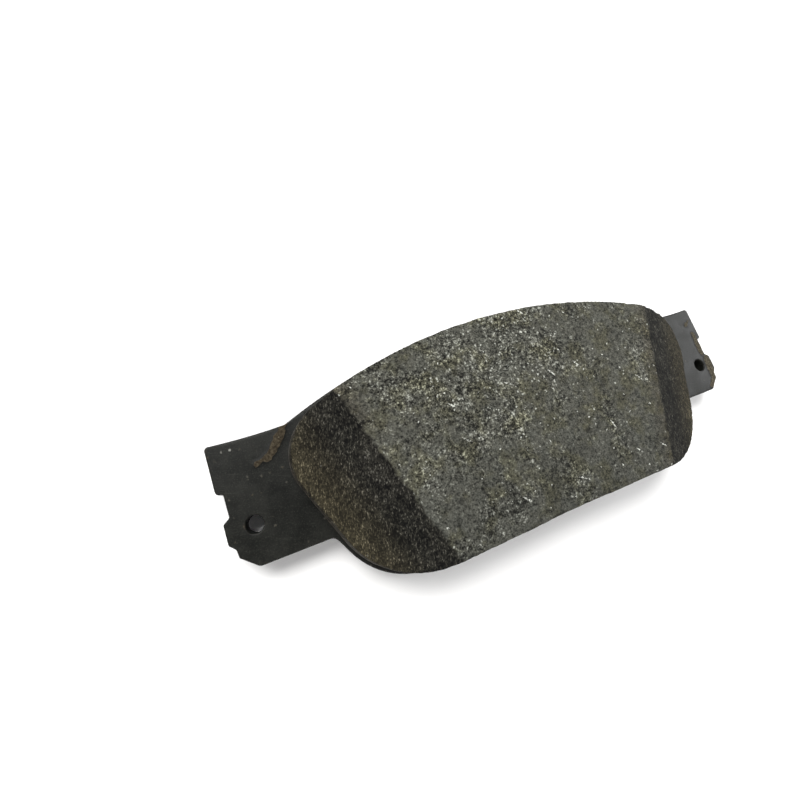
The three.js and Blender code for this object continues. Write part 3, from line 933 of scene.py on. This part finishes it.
def cut_ears(mesh):
    """Cuts a fine grid into both ears, so that their faces can carry relief."""
    shape = bmesh.new()
    shape.from_mesh(mesh)
    outer = np.arange(EAR_START, PLATE_HIGH[0], EAR_STEP)
    cuts = [((side * x, 0, 0), (1, 0, 0)) for side in (-1, 1) for x in outer]
    cuts += [((0, y, 0), (0, 1, 0)) for y in np.arange(*EAR_SPAN, EAR_STEP)]
    for place, direction in cuts:
        faces = [face for face in shape.faces if on_ear_front(face)]
        parts = {part for face in faces for part in (*face.verts, *face.edges)}
        bmesh.ops.bisect_plane(
            shape,
            geom=[*faces, *parts],
            plane_co=Vector(place) * MM,
            plane_no=direction,
        )
    shape.to_mesh(mesh)
    shape.free()


def scab_height(points):
    """0 on sound coating and 1 on a scab, with ragged edges."""
    ragged = 0.5 * layered_noise(points, 1.3, 3, seed=81)
    total = np.zeros(len(points))
    for start, end, width in SCABS:
        start, run = np.array(start), np.subtract(end, start)
        along = np.clip((points[:, :2] - start) @ run / (run @ run), 0, 1)
        gap = np.linalg.norm(points[:, :2] - start - along[:, None] * run, axis=1)
        total = np.maximum(total, ramp(gap + ragged, width / 2 + 0.35, width / 2 - 0.35))
    return total


def rolled_plate(clean):
    """The plate with the rolled edges that blanking leaves."""
    roll = {
        "width": EDGE_ROLL * MM,
        "segments": 3,
        "limit_method": "ANGLE",
        "angle_limit": PLATE_CREASE,
        "use_clamp_overlap": False,
        "miter_outer": "MITER_ARC",
    }
    mesh = with_modifiers(clean, ("BEVEL", roll), ("TRIANGULATE", {}))
    mesh.name = "backing_plate_mesh"
    return mesh


def make_backing_plate():
    """Rolled edges all round, and ears whose coating has lifted in scabs."""
    clean = welded_copy("backing_plate", "backing_plate_clean")
    mesh = rolled_plate(clean)
    cut_ears(mesh)
    points = points_of(mesh)
    crease = crease_distance(clean, points, PLATE_CREASE)
    on_front = ramp(points[:, 2], PLATE_FRONT - EAR_SKIN, PLATE_FRONT - 0.05)
    on_ear = ramp(np.abs(points[:, 0]), EAR_START, EAR_START + 1)
    scab = scab_height(points) * on_front * on_ear
    dents = ramp(nearest_seed(points, 3.5, seed=91)[0], 0.7, 0.1) * on_ear * on_front
    wave = value_noise(points, 2.5, seed=95) * on_ear * on_front * ramp(crease, 0, 1)
    flakes = 0.5 + 0.5 * value_noise(points, 0.8, seed=97)
    rise = scab * (SCAB_RISE + FLAKE_RISE * flakes) - DENT_DEPTH * dents + WAVE_HEIGHT * wave
    points[:, 2] += rise
    set_points(mesh, points)
    set_attribute(mesh, "rim", ramp(crease, 0.8, 0.1))
    set_attribute(mesh, "scab", scab)
    mesh.shade_smooth()
    mesh.set_sharp_from_angle(angle=PLATE_SHARP)
    material = plate_material()
    new_piece("backing_plate_rolled", mesh, "backing_plate", material)


# ---------------------------------------------------------------- the plies that stay as packed


def dress(node, material):
    """Gives a CAD node its finished material."""
    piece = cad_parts[node]
    piece.data.materials.clear()
    piece.data.materials.append(material)


# ---------------------------------------------------------------- floor, lights and camera

FLOOR_HALF = 3.0  # metres
FLOOR_DROP = 0.00002  # keeps the floor just clear of the pad's back
FLOOR_DARK = (0.9, 0.895, 0.89)
FLOOR_LIGHT = (0.92, 0.915, 0.91)


def floor_material():
    g = Graph("floor")
    color = g.mix(g.noise(60.0, 2.0), FLOOR_DARK, FLOOR_LIGHT)
    return g.finish(color, 0.7, Specular_IOR_Level=0.2)


def make_floor():
    mesh = bpy.data.meshes.new("floor_mesh")
    corners = [(-1, -1), (1, -1), (1, 1), (-1, 1)]
    points = [(x * FLOOR_HALF, y * FLOOR_HALF, -FLOOR_DROP) for x, y in corners]
    mesh.from_pydata(points, [], [(0, 1, 2, 3)])
    mesh.materials.append(floor_material())
    floor = bpy.data.objects.new("floor", mesh)
    bpy.context.scene.collection.objects.link(floor)


def aimed(place, target, up):
    """The matrix of a camera or lamp at a place, looking at a target, with its top towards up."""
    back = (Vector(place) - Vector(target)).normalized()
    right = Vector(up).cross(back).normalized()
    top = back.cross(right)
    turn = Matrix((right, top, back)).transposed().to_4x4()
    return Matrix.Translation(place) @ turn


# Name: place, size, watts and colour, in metres. All are aimed at the pad's origin.
SOFTBOXES = {
    "key_softbox": ((-0.3, 0.95, 1.25), (1.2, 0.9), 40, (1.0, 0.995, 0.985)),
    "fill_softbox": ((-0.5, -1.1, 0.95), (1.0, 0.8), 9, (1.0, 0.99, 0.98)),
    "end_softbox": ((1.15, 0.1, 0.7), (0.5, 0.4), 7, (0.98, 0.99, 1.0)),
}


def add_softbox(name, place, size, watts, color):
    lamp = bpy.data.lights.new(name, "AREA")
    lamp.shape = "RECTANGLE"
    lamp.size, lamp.size_y = size
    lamp.energy = watts
    lamp.color = color
    softbox = bpy.data.objects.new(name, lamp)
    bpy.context.scene.collection.objects.link(softbox)
    softbox.matrix_world = aimed(place, (0, 0, 0), (0, 0, 1))


WORLD_COLOR = (0.985, 0.99, 1.0, 1)
HORIZON_STRENGTH = 0.85
OVERHEAD_STRENGTH = 0.15
WORLD_FADE = (0.2, 0.8)  # the fade's start and end, as the Z of the direction


def set_world():
    """A pale surround that is dim overhead, so that what faces up stays dark."""
    world = bpy.data.worlds.new("studio")
    world.use_nodes = True
    tree = world.node_tree
    background = tree.nodes["Background"]
    background.inputs["Color"].default_value = WORLD_COLOR
    place = tree.nodes.new("ShaderNodeTexCoord")
    split = tree.nodes.new("ShaderNodeSeparateXYZ")
    fade = tree.nodes.new("ShaderNodeMapRange")
    fade.interpolation_type = "SMOOTHSTEP"
    fade.inputs["From Min"].default_value, fade.inputs["From Max"].default_value = WORLD_FADE
    fade.inputs["To Min"].default_value = HORIZON_STRENGTH
    fade.inputs["To Max"].default_value = OVERHEAD_STRENGTH
    tree.links.new(place.outputs["Generated"], split.inputs["Vector"])
    tree.links.new(split.outputs["Z"], fade.inputs["Value"])
    tree.links.new(fade.outputs["Result"], background.inputs["Strength"])
    bpy.context.scene.world = world


def set_lights():
    for name, settings in SOFTBOXES.items():
        add_softbox(name, *settings)
    set_world()
    bpy.context.scene.view_settings.view_transform = "Standard"


CAMERA_PLACE = Vector((-0.0607, -0.0026, 0.0993))
CAMERA_FORWARD = Vector((0.3047, 0.1567, -0.9395))
CAMERA_UP = Vector((0.2694, 0.9319, 0.2428))
CAMERA_SENSOR = 36  # width in millimetres
CAMERA_LENS = 17.25
CAMERA_CLIP = 0.005


def set_camera():
    """Close above the ear at -X with a wide lens, so that the other ear looks small."""
    data = bpy.data.cameras.new("camera")
    data.sensor_width = CAMERA_SENSOR
    data.lens = CAMERA_LENS
    data.clip_start = CAMERA_CLIP
    camera = bpy.data.objects.new("camera", data)
    bpy.context.scene.collection.objects.link(camera)
    camera.matrix_world = aimed(CAMERA_PLACE, CAMERA_PLACE + CAMERA_FORWARD, CAMERA_UP)
    bpy.context.scene.camera = camera


# ---------------------------------------------------------------- the scene

make_friction_block()
make_underlayer()
make_backing_plate()
dress("bonding_film", film_material())
dress("shim_adhesive", adhesive_material())
rubber = rubber_material()
dress("shim_inner_rubber", rubber)
dress("shim_outer_rubber", rubber)
dress("shim_steel_sheet", shim_steel_material())
make_floor()
set_lights()
set_camera()
